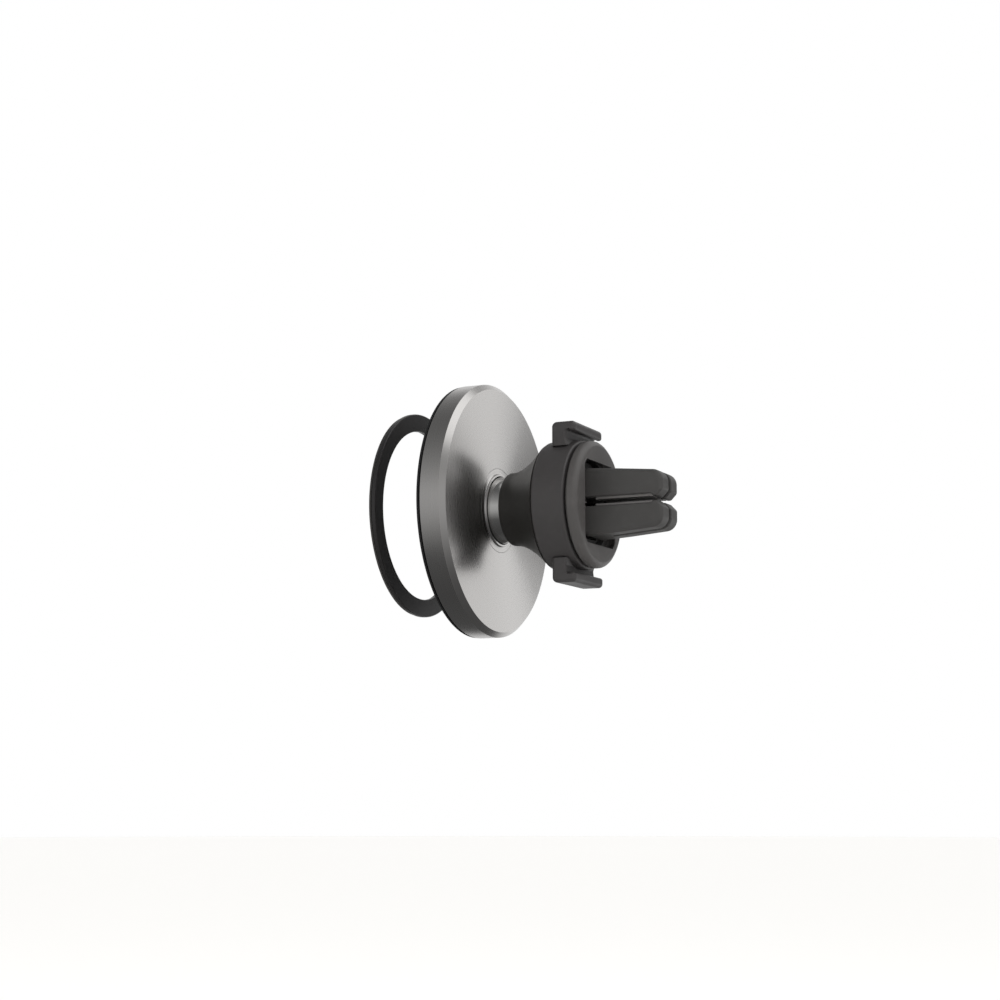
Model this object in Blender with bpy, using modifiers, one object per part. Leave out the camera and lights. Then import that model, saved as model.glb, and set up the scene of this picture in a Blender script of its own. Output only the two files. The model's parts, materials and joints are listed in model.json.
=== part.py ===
"""Magnetic vent mount for a phone, modelled piece by piece.

The mount's axis is Y. The magnetic face looks along -Y and the clip's jaws point along +Y.
The origin is on the axis, in the plane of the clip's front plate, where a vent blade enters the jaws.
Lengths are in metres.
"""

import math

import bmesh
import bpy
from mathutils import Vector

MM = 0.001
GAP = 0.3 * MM  # play between neighbouring pieces
BALL_PLAY = 0.2 * MM  # play around the ball
MERGE = 0.01 * MM

# Head: an aluminium cup with the magnets in it
HEAD_RADIUS = 29.6 * MM
HEAD_WALL = 1.6 * MM
HEAD_CHAMFER = 1.2 * MM
HEAD_BACK = -25.4 * MM
HEAD_FRONT = -31.3 * MM
BACK_WALL = 1.5 * MM
COVER_FACE = -32.2 * MM
COVER_EDGE = 0.6 * MM
COVER_CENTRE = 0.7 * MM
COVER_SPIGOT = 1.6 * MM

# Magnets, in a tray between the cover and a steel shunt plate
MAGNET_COUNT = 12
MAGNET_INNER = 20.1 * MM
MAGNET_OUTER = 24.9 * MM
MAGNET_THICKNESS = 1.9 * MM
MAGNET_ARC = math.radians(25.0)
TRAY_FRONT = -30.3 * MM
TRAY_THICKNESS = 2.1 * MM
TRAY_INNER = 17.4 * MM
SHUNT_FRONT = -27.9 * MM
SHUNT_THICKNESS = 0.75 * MM

# Ball joint
BALL_RADIUS = 7.9 * MM
BALL_CENTRE = -25.8 * MM
BALL_FLAT = math.radians(66.0)
NECK_RADIUS = 4.2 * MM
STEM_RADIUS = 2.7 * MM
STEM_END = -12.2 * MM
LINER_WALL = 0.5 * MM
CUP_WALL = 0.6 * MM
SOCKET_OUTER = 14.0 * MM
SOCKET_RING_RADIUS = 9.6 * MM
SOCKET_RING_PROUD = 0.6 * MM
SCREW_COUNT = 3
SCREW_CIRCLE = 12.0 * MM

# Clip housing
BELL_LIP = -22.0 * MM
BELL_LIP_RADIUS = 8.5 * MM
BELL_REAR = -11.2 * MM
BELL_REAR_RADIUS = 14.5 * MM
WEB_FRONT = -17.6 * MM
WEB_REAR = -16.0 * MM
TWIST_FRONT = -10.9 * MM
TWIST_REAR = -3.1 * MM
TWIST_RADIUS = 14.9 * MM
CORE_RADIUS = 11.6 * MM
CORE_BORE = 10.2 * MM
CORE_REAR = -2.0 * MM
CAVITY_FRONT = -8.9 * MM
PLATE_BACK = -2.8 * MM
PLATE_RADIUS = 14.6 * MM
WINDOW_HALF_WIDTH = 9.5 * MM
WINDOW_HALF_HEIGHT = 10.0 * MM
WINDOW_CORNER = 2.0 * MM

# Tabs of the twist ring
TAB_HALF_WIDTH = 8.5 * MM
TAB_TOP = 18.4 * MM

# Clamp: a collar that the twist ring drives along the jaws
COLLAR_FRONT = -7.0 * MM
COLLAR_LENGTH = 3.6 * MM
COLLAR_RADIUS = 9.9 * MM
PEG_RADIUS = 1.0 * MM
PEG_INNER = 6.0 * MM
PEG_OUTER = 12.9 * MM

# Jaws
JAW_HALF_WIDTH = 5.3 * MM
JAW_TAIL = -11.3 * MM
JAW_TAIL_HEIGHT = 7.1 * MM
JAW_ROOT_HEIGHT = 7.8 * MM
JAW_TIP_HEIGHT = 6.35 * MM
JAW_TIP = 16.9 * MM
JAW_INNER = 0.95 * MM
JAW_MOUTH = 0.45 * MM
PRONG_SLOT_HALF = 0.75 * MM
PRONG_SLOT_START = 3.0 * MM
PIN_RADIUS = 0.8 * MM
PIN_PLACE = (-10.2 * MM, 4.0 * MM)
PIN_HALF_LENGTH = 9.0 * MM
PAD_START = 0.6 * MM
PAD_END = 14.4 * MM
PAD_INNER = 1.6 * MM
PAD_OUTER = 4.4 * MM
PAD_BACK = 1.45 * MM
SPRING_PLACE = -5.2 * MM
SPRING_RADIUS = 1.45 * MM
SPRING_WIRE = 0.25 * MM
SPRING_HALF_LENGTH = 2.6 * MM
SPRING_TURNS = 5
SPRING_POCKET = 3.2 * MM

# Adapter ring that sticks to the phone
ADAPTER_OUTER = 24.15 * MM
ADAPTER_INNER = 20.0 * MM
ADAPTER_BACK = -45.4 * MM
ADAPTER_THICKNESS = 0.9 * MM
ADHESIVE_THICKNESS = 0.5 * MM

ROUND_STEPS = 48
HEAD_STEPS = 72
HIDDEN_STEPS = 36
SMALL_STEPS = 24

ALONG_Y = (math.radians(-90.0), 0.0, 0.0)  # local Z becomes the mount's axis
ALONG_X = (math.radians(90.0), 0.0, math.radians(90.0))  # local X, Y, Z become Y, Z, X

FINISHES = {
    "satin_aluminium": ("9A9998", 0.30, 1.0),
    "polished_steel": ("C9C8C6", 0.12, 1.0),
    "plain_steel": ("8C8B89", 0.38, 1.0),
    "nickel_magnet": ("B4B2AD", 0.25, 1.0),
    "face_silicone": ("1C1C1D", 0.70, 0.0),
    "bell_plastic": ("2B2A28", 0.42, 0.0),
    "clip_plastic": ("474546", 0.48, 0.0),
    "plate_plastic": ("555354", 0.46, 0.0),
    "inner_plastic": ("33322F", 0.50, 0.0),
    "jaw_rubber": ("474546", 0.58, 0.0),
    "pad_silicone": ("6B6969", 0.62, 0.0),
    "liner_nylon": ("D8D5CC", 0.45, 0.0),
    "adapter_lacquer": ("2A2928", 0.36, 0.0),
    "adhesive_foam": ("3A3938", 0.85, 0.0),
}


def clear_scene():
    for thing in list(bpy.data.objects):
        bpy.data.objects.remove(thing, do_unlink=True)


def new_collection(name, hidden=False):
    group = bpy.data.collections.new(name)
    group.hide_render = hidden
    bpy.context.scene.collection.children.link(group)
    return group


def linear(code):
    """A hexadecimal display colour as linear light."""
    levels = [int(code[i : i + 2], 16) / 255 for i in (0, 2, 4)]
    return [v / 12.92 if v <= 0.04045 else ((v + 0.055) / 1.055) ** 2.4 for v in levels]


def finish_material(node, finish):
    code, roughness, metallic = FINISHES[finish]
    made = bpy.data.materials.new(node)
    made.use_nodes = True
    shader = made.node_tree.nodes["Principled BSDF"]
    shader.inputs["Base Color"].default_value = (*linear(code), 1.0)
    shader.inputs["Roughness"].default_value = roughness
    shader.inputs["Metallic"].default_value = metallic
    return made


class Workshop:
    """Makes the pieces, the cutters and the empties that the pieces hang on."""

    def __init__(self):
        clear_scene()
        self.pieces = new_collection("magnetic_vent_mount")
        self.tools = new_collection("cutters", hidden=True)

    def frame(self, name, place=(0.0, 0.0, 0.0)):
        empty = bpy.data.objects.new(name, None)
        empty.empty_display_size = 5 * MM
        empty.location = place
        self.pieces.objects.link(empty)
        bpy.context.view_layer.update()
        return empty

    def add(self, name, data, rotation, location, finish=None, frame=None):
        """An object from mesh or curve data: a piece if it has a finish, or else a cutter."""
        made = bpy.data.objects.new(name, data)
        made.rotation_euler = rotation
        made.location = location
        if finish is None:
            self.tools.objects.link(made)
            made.hide_render = True
            made.display_type = "WIRE"
            return made
        self.pieces.objects.link(made)
        made.parent = frame
        made.matrix_parent_inverse = frame.matrix_world.inverted()
        data.materials.append(finish_material(name, finish))
        return made

    def turned(self, name, profile, finish=None, frame=None, steps=ROUND_STEPS):
        """A profile of (station, radius) points, turned about the mount's axis."""
        on_axis = profile[0][1] == 0.0
        points = list(profile)
        area = sum(
            a[1] * b[0] - b[1] * a[0] for a, b in zip(points, points[1:] + points[:1])
        )
        if area > 0:
            points.reverse()
        count = len(points)
        edges = [(i, i + 1) for i in range(count - 1)]
        if not on_axis:
            edges.append((count - 1, 0))
        mesh = bpy.data.meshes.new(name)
        mesh.from_pydata([(radius, 0.0, station) for station, radius in points], edges, [])
        made = self.add(name, mesh, ALONG_Y, (0.0, 0.0, 0.0), finish, frame)
        screw = made.modifiers.new("Turn", "SCREW")
        screw.axis = "Z"
        screw.steps = steps
        screw.render_steps = steps
        screw.use_merge_vertices = True
        screw.merge_threshold = MERGE
        screw.use_smooth_shade = True
        return made

    def outline(self, name, points, half_depth, rotation, location=(0.0, 0.0, 0.0), finish=None, frame=None):
        """A flat outline made as thick as twice half_depth."""
        curve = bpy.data.curves.new(name, "CURVE")
        curve.dimensions = "2D"
        curve.fill_mode = "BOTH"
        curve.extrude = half_depth
        spline = curve.splines.new("POLY")
        spline.points.add(len(points) - 1)
        for point, (x, y) in zip(spline.points, points):
            point.co = (x, y, 0.0, 1.0)
        spline.use_cyclic_u = True
        drawn = bpy.data.objects.new(name + "_outline", curve)
        self.tools.objects.link(drawn)
        bpy.context.view_layer.update()
        mesh = bpy.data.meshes.new_from_object(drawn.evaluated_get(bpy.context.evaluated_depsgraph_get()))
        bpy.data.objects.remove(drawn)
        weld_flat(mesh)
        return self.add(name, mesh, rotation, location, finish, frame)

    def box(self, name, low, high, finish=None, frame=None):
        low, high = Vector(low), Vector(high)
        shape = bmesh.new()
        bmesh.ops.create_cube(shape, size=1.0)
        bmesh.ops.scale(shape, vec=high - low, verts=shape.verts)
        mesh = to_mesh(name, shape)
        return self.add(name, mesh, (0.0, 0.0, 0.0), (low + high) / 2, finish, frame)

    def rod(self, name, radius, length, rotation, place, finish=None, frame=None, sides=SMALL_STEPS):
        shape = bmesh.new()
        bmesh.ops.create_cone(
            shape, cap_ends=True, segments=sides, radius1=radius, radius2=radius, depth=length
        )
        mesh = to_mesh(name, shape)
        mesh.shade_smooth()
        mesh.set_sharp_from_angle(angle=math.radians(40.0))
        return self.add(name, mesh, rotation, place, finish, frame)


def to_mesh(name, shape):
    mesh = bpy.data.meshes.new(name)
    shape.to_mesh(mesh)
    shape.free()
    return mesh


def weld_flat(mesh):
    """Joins an outline's caps to its sides and clears the edges that lie in flat faces."""
    shape = bmesh.new()
    shape.from_mesh(mesh)
    bmesh.ops.remove_doubles(shape, verts=shape.verts, dist=MERGE)
    bmesh.ops.dissolve_limit(
        shape, angle_limit=math.radians(0.5), verts=shape.verts, edges=shape.edges
    )
    bmesh.ops.recalc_face_normals(shape, faces=shape.faces)
    shape.to_mesh(mesh)
    shape.free()


def boolean(piece, other, operation):
    step = piece.modifiers.new(operation.title(), "BOOLEAN")
    step.operation = operation
    step.solver = "EXACT"
    step.object = other


def cut(piece, *cutters):
    for cutter in cutters:
        boolean(piece, cutter, "DIFFERENCE")


def bevel(piece, width, segments=2):
    step = piece.modifiers.new("Edges", "BEVEL")
    step.width = width
    step.segments = segments
    step.limit_method = "ANGLE"
    step.angle_limit = math.radians(35.0)


def arc(centre, radius, start, end, count):
    """Points (station, radius) along an arc: 0 degrees looks along -Y, 90 degrees straight out."""
    points = []
    for i in range(count + 1):
        angle = math.radians(start + (end - start) * i / count)
        points.append((centre[0] - radius * math.cos(angle), centre[1] + radius * math.sin(angle)))
    return points


def spherical_ring(inner, outer, start, end, count):
    """The profile of a thin ring between two spheres about the ball's centre."""
    centre = (BALL_CENTRE, 0.0)
    return arc(centre, outer, start, end, count) + arc(centre, inner, end, start, count)


def sector(inner, outer, middle, half_angle, count=5):
    """The outline of a piece of a flat ring."""
    turns = [middle + half_angle * (2 * i / count - 1) for i in range(count + 1)]
    outside = [(outer * math.cos(t), outer * math.sin(t)) for t in turns]
    inside = [(inner * math.cos(t), inner * math.sin(t)) for t in reversed(turns)]
    return outside + inside


def make_adapter(shop, frame):
    front = ADAPTER_BACK - ADAPTER_THICKNESS
    edge = 0.15 * MM
    shop.turned(
        "adapter_ring",
        [
            (front, ADAPTER_INNER),
            (front, ADAPTER_OUTER - edge),
            (front + edge, ADAPTER_OUTER),
            (ADAPTER_BACK - edge, ADAPTER_OUTER),
            (ADAPTER_BACK, ADAPTER_OUTER - edge),
            (ADAPTER_BACK, ADAPTER_INNER + edge),
            (ADAPTER_BACK - edge, ADAPTER_INNER),
        ],
        "adapter_lacquer",
        frame,
    )
    back = front - GAP
    shop.turned(
        "adhesive_pad",
        [
            (back - ADHESIVE_THICKNESS, ADAPTER_INNER + GAP),
            (back - ADHESIVE_THICKNESS, ADAPTER_OUTER - GAP),
            (back, ADAPTER_OUTER - GAP),
            (back, ADAPTER_INNER + GAP),
        ],
        "adhesive_foam",
        frame,
        steps=HIDDEN_STEPS,
    )


def make_head_shell(shop, frame):
    inside = HEAD_RADIUS - HEAD_WALL
    opening = SOCKET_RING_RADIUS + GAP
    shell = shop.turned(
        "head_shell",
        [
            (HEAD_FRONT, inside),
            (HEAD_FRONT, HEAD_RADIUS - 0.2 * MM),
            (HEAD_FRONT + 0.2 * MM, HEAD_RADIUS),
            (HEAD_BACK - HEAD_CHAMFER, HEAD_RADIUS),
            (HEAD_BACK, HEAD_RADIUS - HEAD_CHAMFER),
            (HEAD_BACK, opening),
            (HEAD_BACK - BACK_WALL, opening),
            (HEAD_BACK - BACK_WALL, inside),
        ],
        "satin_aluminium",
        frame,
        steps=HEAD_STEPS,
    )
    for number, (x, z) in enumerate(screw_places(), 1):
        middle = (x, HEAD_BACK - BACK_WALL, z)
        hole = shop.rod(f"shell_hole_{number}", 1.2 * MM, 2.0 * MM, ALONG_Y, middle)
        cut(shell, hole)


def screw_places():
    turns = [math.radians(90 + 360 * i / SCREW_COUNT) for i in range(SCREW_COUNT)]
    return [(SCREW_CIRCLE * math.cos(t), SCREW_CIRCLE * math.sin(t)) for t in turns]


def make_face_cover(shop, frame):
    spigot = HEAD_RADIUS - HEAD_WALL - GAP
    spigot_wall = 1.7 * MM
    edge = 0.25 * MM
    shop.turned(
        "face_cover",
        [
            (COVER_FACE, 0.0),
            (COVER_FACE, HEAD_RADIUS - 0.1 * MM - edge),
            (COVER_FACE + edge, HEAD_RADIUS - 0.1 * MM),
            (COVER_FACE + COVER_EDGE, HEAD_RADIUS - 0.1 * MM),
            (COVER_FACE + COVER_EDGE, spigot),
            (COVER_FACE + COVER_SPIGOT, spigot),
            (COVER_FACE + COVER_SPIGOT, spigot - spigot_wall),
            (COVER_FACE + COVER_CENTRE, spigot - spigot_wall),
            (COVER_FACE + COVER_CENTRE, 0.0),
        ],
        "face_silicone",
        frame,
        steps=HEAD_STEPS,
    )


def make_magnets(shop, frame):
    tray_back = TRAY_FRONT + TRAY_THICKNESS
    tray = shop.turned(
        "magnet_tray",
        [
            (TRAY_FRONT, TRAY_INNER),
            (TRAY_FRONT, HEAD_RADIUS - HEAD_WALL - 2 * GAP),
            (tray_back, HEAD_RADIUS - HEAD_WALL - 2 * GAP),
            (tray_back, TRAY_INNER),
        ],
        "inner_plastic",
        frame,
        steps=HIDDEN_STEPS,
    )
    middle = (0.0, TRAY_FRONT + TRAY_THICKNESS / 2, 0.0)
    play = GAP / MAGNET_INNER
    for number in range(1, MAGNET_COUNT + 1):
        turn = 2 * math.pi * (number - 0.5) / MAGNET_COUNT
        pocket = sector(MAGNET_INNER - GAP, MAGNET_OUTER + GAP, turn, MAGNET_ARC / 2 + play)
        cut(tray, shop.outline(f"tray_pocket_{number:02d}", pocket, TRAY_THICKNESS, ALONG_Y, middle))
        shape = sector(MAGNET_INNER, MAGNET_OUTER, turn, MAGNET_ARC / 2)
        shop.outline(
            f"magnet_{number:02d}", shape, MAGNET_THICKNESS / 2, ALONG_Y, middle, "nickel_magnet", frame
        )
    shunt_back = SHUNT_FRONT + SHUNT_THICKNESS
    shop.turned(
        "shunt_plate",
        [
            (SHUNT_FRONT, TRAY_INNER + GAP),
            (SHUNT_FRONT, MAGNET_OUTER + 1.5 * MM),
            (shunt_back, MAGNET_OUTER + 1.5 * MM),
            (shunt_back, TRAY_INNER + GAP),
        ],
        "plain_steel",
        frame,
        steps=HIDDEN_STEPS,
    )


def make_socket(shop, frame):
    """The parts of the head that hold the ball: block, screws and the ring on the back."""
    front = TRAY_FRONT + 0.1 * MM
    back = HEAD_BACK - BACK_WALL - GAP
    seat = BALL_RADIUS + BALL_PLAY + LINER_WALL + GAP + CUP_WALL + GAP
    start = math.degrees(math.acos((BALL_CENTRE - front) / seat))
    end = math.degrees(math.acos((BALL_CENTRE - back) / seat))
    block = shop.turned(
        "socket_block",
        arc((BALL_CENTRE, 0.0), seat, start, end, 3) + [(back, SOCKET_OUTER), (front, SOCKET_OUTER)],
        "inner_plastic",
        frame,
        steps=HIDDEN_STEPS,
    )
    screw_length = back - front + 1.0 * MM
    for number, (x, z) in enumerate(screw_places(), 1):
        hole_place = (x, front, z)
        shank = shop.rod(f"block_hole_{number}", 1.2 * MM, 12 * MM, ALONG_Y, hole_place)
        sink = shop.rod(f"block_sink_{number}", 1.75 * MM, 2.4 * MM, ALONG_Y, hole_place)
        cut(block, shank, sink)
        head_place = (x, front + 0.55 * MM, z)
        screw = shop.rod(
            f"socket_screw_{number}", 1.45 * MM, 0.7 * MM, ALONG_Y, head_place, "plain_steel", frame
        )
        thread_place = (x, front + screw_length / 2 + 0.2 * MM, z)
        thread = shop.rod(
            f"screw_thread_{number}", 0.85 * MM, screw_length - 0.4 * MM, ALONG_Y, thread_place
        )
        boolean(screw, thread, "UNION")
    proud = HEAD_BACK + SOCKET_RING_PROUD
    ring_front = HEAD_BACK - 0.9 * MM
    bore = BALL_RADIUS + BALL_PLAY
    ring_start = math.degrees(math.acos((BALL_CENTRE - ring_front) / bore))
    ring_end = math.degrees(math.acos((BALL_CENTRE - proud) / bore))
    shop.turned(
        "socket_ring",
        arc((BALL_CENTRE, 0.0), bore, ring_start, ring_end, 2)
        + [
            (proud, 8.5 * MM),
            (proud - 0.15 * MM, 8.75 * MM),
            (HEAD_BACK + 0.05 * MM, 9.3 * MM),
            (HEAD_BACK - 0.1 * MM, SOCKET_RING_RADIUS),
            (ring_front, SOCKET_RING_RADIUS),
        ],
        "polished_steel",
        frame,
    )


def make_ball_liner(shop, frame):
    inner = BALL_RADIUS + BALL_PLAY
    shop.turned("ball_liner", spherical_ring(inner, inner + LINER_WALL, 64, 74, 1), "liner_nylon", frame, HIDDEN_STEPS)


def make_friction_cup(shop, frame):
    inner = BALL_RADIUS + BALL_PLAY + LINER_WALL + GAP
    shop.turned("friction_cup", spherical_ring(inner, inner + CUP_WALL, 63, 82, 2), "plain_steel", frame, HIDDEN_STEPS)


def make_ball_stud(shop, frame):
    neck_turn = 180 - math.degrees(math.asin(NECK_RADIUS / BALL_RADIUS))
    ball = arc((BALL_CENTRE, 0.0), BALL_RADIUS, math.degrees(BALL_FLAT), neck_turn, 9)
    flat = ball[0][0]
    shoulder = WEB_FRONT - GAP
    shop.turned(
        "ball_stud",
        [(flat, 0.0)]
        + ball
        + [
            (shoulder, NECK_RADIUS),
            (shoulder, STEM_RADIUS),
            (STEM_END - 0.5 * MM, STEM_RADIUS),
            (STEM_END, STEM_RADIUS - 0.5 * MM),
            (STEM_END, 0.0),
        ],
        "polished_steel",
        frame,
        steps=ROUND_STEPS,
    )
    washer_front = WEB_REAR + GAP
    hole = STEM_RADIUS + GAP
    shop.turned(
        "stud_washer",
        [
            (washer_front, hole),
            (washer_front, 6.0 * MM),
            (washer_front + 0.6 * MM, 6.0 * MM),
            (washer_front + 0.6 * MM, hole),
        ],
        "plain_steel",
        frame,
        steps=HIDDEN_STEPS,
    )
    nut_length = 2.0 * MM
    nut_middle = (0.0, washer_front + 0.6 * MM + GAP + nut_length / 2, 0.0)
    nut = shop.rod("stud_nut", 5.2 * MM, nut_length, ALONG_Y, nut_middle, "plain_steel", frame, sides=6)
    cut(nut, shop.rod("nut_thread", hole, 4 * MM, ALONG_Y, nut_middle))


def bell_outside(count=7):
    """The flare from the waist behind the lip to the rear edge, an S that ends nearly flat."""
    start, end = BELL_LIP + 1.6 * MM, BELL_REAR - 0.3 * MM
    waist = BELL_LIP_RADIUS + 0.1 * MM
    points = []
    for i in range(count + 1):
        t = i / count
        points.append((start + (end - start) * t, waist + (BELL_REAR_RADIUS - waist) * t**1.6))
    return points


def make_bell_collar(shop, frame):
    mouth_seat = BALL_RADIUS + GAP
    pocket = NECK_RADIUS + GAP
    mouth_end = math.degrees(math.asin(pocket / mouth_seat))
    mouth_turn = math.degrees(math.acos((BELL_LIP - BALL_CENTRE) / mouth_seat))
    mouth = arc((BALL_CENTRE, 0.0), mouth_seat, 180 - mouth_turn, 180 - mouth_end, 3)
    lip_centre = (BELL_LIP + 0.6 * MM, BELL_LIP_RADIUS - 0.6 * MM)
    lip = arc(lip_centre, 0.6 * MM, 0, 90, 3)
    cavity = 10.7 * MM
    shop.turned(
        "bell_collar",
        list(reversed(mouth))
        + lip
        + bell_outside()
        + [
            (BELL_REAR, BELL_REAR_RADIUS - 0.3 * MM),
            (BELL_REAR, cavity),
            (WEB_REAR + 1.8 * MM, cavity),
            (WEB_REAR + 1.8 * MM, 7.2 * MM),
            (WEB_REAR, 7.2 * MM),
            (WEB_REAR, STEM_RADIUS + GAP),
            (WEB_FRONT, STEM_RADIUS + GAP),
            (WEB_FRONT, pocket),
        ],
        "bell_plastic",
        frame,
    )


def make_core_body(shop, frame):
    spigot = 10.4 * MM
    spigot_front = WEB_REAR + 1.8 * MM + GAP
    cavity_start = -11.6 * MM
    core = shop.turned(
        "core_body",
        [
            (spigot_front, 7.4 * MM),
            (spigot_front, spigot),
            (TWIST_FRONT, spigot),
            (TWIST_FRONT, CORE_RADIUS),
            (CORE_REAR, CORE_RADIUS),
            (CORE_REAR, CORE_BORE),
            (CAVITY_FRONT, CORE_BORE),
            (CAVITY_FRONT, 5.0 * MM),
            (cavity_start, 5.0 * MM),
            (cavity_start, 7.4 * MM),
        ],
        "inner_plastic",
        frame,
    )
    width, height = JAW_HALF_WIDTH + GAP, JAW_TAIL_HEIGHT + 2 * GAP
    low = (-width, cavity_start - 0.5 * MM, -height)
    cut(core, shop.box("tail_cavity", low, (width, CAVITY_FRONT + 0.5 * MM, height)))
    slot = PEG_RADIUS + GAP
    low = (-2 * CORE_RADIUS, CAVITY_FRONT + 0.2 * MM, -slot)
    cut(core, shop.box("peg_slot", low, (2 * CORE_RADIUS, 1 * MM, slot)))
    for name, side in (("upper", 1), ("lower", -1)):
        place = (0.0, PIN_PLACE[0], side * PIN_PLACE[1])
        cut(core, shop.rod(f"{name}_pin_bore", PIN_RADIUS + GAP, 2.4 * CORE_RADIUS, ALONG_X, place))


def tab_outline(side):
    """One tab of the twist ring from the side: a block with a hooked lip over the vent side."""
    front, block, lip = -8.6 * MM, -4.7 * MM, -2.8 * MM
    points = [(front, 12.8 * MM), (front, TAB_TOP - 0.9 * MM), (front + 0.9 * MM, TAB_TOP)]
    points += [(lip - 0.3 * MM, TAB_TOP), (lip, TAB_TOP - 0.5 * MM), (lip, TAB_TOP - 1.5 * MM)]
    points += [(lip - 0.5 * MM, TAB_TOP - 1.8 * MM), (lip - 1.0 * MM, TAB_TOP - 1.4 * MM)]
    points += [(block - 0.1 * MM, TAB_TOP - 1.8 * MM), (block - 0.4 * MM, TAB_TOP - 2.8 * MM)]
    points += [(block, TAB_TOP - 4.2 * MM), (block, 12.8 * MM)]
    return [(y, side * z) for y, z in points]


def make_twist_ring(shop, frame):
    bore = CORE_RADIUS + GAP
    channel = PEG_OUTER + GAP
    ring = shop.turned(
        "twist_ring",
        [
            (TWIST_FRONT, bore),
            (TWIST_FRONT, TWIST_RADIUS - 0.3 * MM),
            (TWIST_FRONT + 0.3 * MM, TWIST_RADIUS),
            (TWIST_REAR - 0.6 * MM, TWIST_RADIUS),
            (TWIST_REAR - 0.15 * MM, TWIST_RADIUS - 0.2 * MM),
            (TWIST_REAR, TWIST_RADIUS - 0.6 * MM),
            (TWIST_REAR, channel),
            (CAVITY_FRONT + 0.2 * MM, channel),
            (CAVITY_FRONT + 0.2 * MM, bore),
        ],
        "clip_plastic",
        frame,
    )
    for name, side in (("upper", 1), ("lower", -1)):
        tab = shop.outline(f"{name}_tab", tab_outline(side), TAB_HALF_WIDTH, ALONG_X)
        bevel(tab, 0.25 * MM)
        hollow = shop.rod(f"{name}_tab_trim", 13.9 * MM, 30 * MM, ALONG_Y, (0.0, -6 * MM, 0.0), sides=ROUND_STEPS)
        cut(tab, hollow)
        boolean(ring, tab, "UNION")


def make_front_plate(shop, frame):
    recess = CORE_RADIUS + GAP
    step = 14.0 * MM
    plate = shop.turned(
        "front_plate",
        [
            (PLATE_BACK, recess),
            (PLATE_BACK, step),
            (PLATE_BACK + 0.4 * MM, step),
            (PLATE_BACK + 0.4 * MM, PLATE_RADIUS),
            (PLATE_BACK + 1.0 * MM, PLATE_RADIUS),
        ]
        + arc((-1.3 * MM, PLATE_RADIUS - 1.3 * MM), 1.3 * MM, 110, 180, 4)
        + [
            (0.0, 5.0 * MM),
            (CORE_REAR + GAP, 5.0 * MM),
            (CORE_REAR + GAP, recess),
        ],
        "plate_plastic",
        frame,
    )
    cut(plate, shop.outline("window_cutter", window_outline(0.0), 6 * MM, ALONG_Y))
    flare = shop.outline("window_flare", window_outline(0.5 * MM), 0.5 * MM, ALONG_Y)
    cut(plate, flare)


def window_outline(grow):
    w, h, c = WINDOW_HALF_WIDTH + grow, WINDOW_HALF_HEIGHT + grow, WINDOW_CORNER
    return [(w, h - c), (w - c, h), (c - w, h), (-w, h - c), (-w, c - h), (c - w, -h), (w - c, -h), (w, c - h)]


def make_clamp_collar(shop, frame):
    back = COLLAR_FRONT + COLLAR_LENGTH
    collar = shop.turned(
        "clamp_collar",
        [(COLLAR_FRONT, 3 * MM), (COLLAR_FRONT, COLLAR_RADIUS), (back, COLLAR_RADIUS), (back, 3 * MM)],
        "inner_plastic",
        frame,
    )
    width, height = JAW_HALF_WIDTH + GAP, JAW_TAIL_HEIGHT + 2 * GAP
    low = (-width, COLLAR_FRONT - 1 * MM, -height)
    cut(collar, shop.box("collar_window", low, (width, back + 1 * MM, height)))
    middle = COLLAR_FRONT + COLLAR_LENGTH / 2
    bore = shop.rod("collar_peg_bore", PEG_RADIUS + GAP, 3 * COLLAR_RADIUS, ALONG_X, (0.0, middle, 0.0))
    cut(collar, bore)
    for name, side in (("left", -1), ("right", 1)):
        place = (side * (PEG_INNER + PEG_OUTER) / 2, middle, 0.0)
        length = PEG_OUTER - PEG_INNER
        peg = shop.rod(f"{name}_peg", PEG_RADIUS, length, ALONG_X, place, "plain_steel", frame)
        bevel(peg, 0.2 * MM, 1)


def jaw_outline():
    """The upper jaw from the side, from its tail round the nose of the prongs to the slot."""
    points = [
        (JAW_TAIL, JAW_INNER),
        (JAW_TAIL, JAW_TAIL_HEIGHT),
        (-3.2 * MM, JAW_TAIL_HEIGHT),
        (-1.4 * MM, JAW_ROOT_HEIGHT),
        (5.8 * MM, 7.3 * MM),
    ]
    nose = 2.6 * MM
    points += [
        (y, z) for y, z in arc((JAW_TIP - nose, JAW_TIP_HEIGHT - nose), nose, 90, 180, 5)
    ]
    points += [
        (JAW_TIP, 1.7 * MM),
        (JAW_TIP - 0.35 * MM, 1.15 * MM),
        (JAW_TIP - 1.2 * MM, JAW_MOUTH),
        (PAD_END + 2 * GAP, JAW_MOUTH),
        (PAD_END + GAP, JAW_INNER),
    ]
    return points


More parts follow.
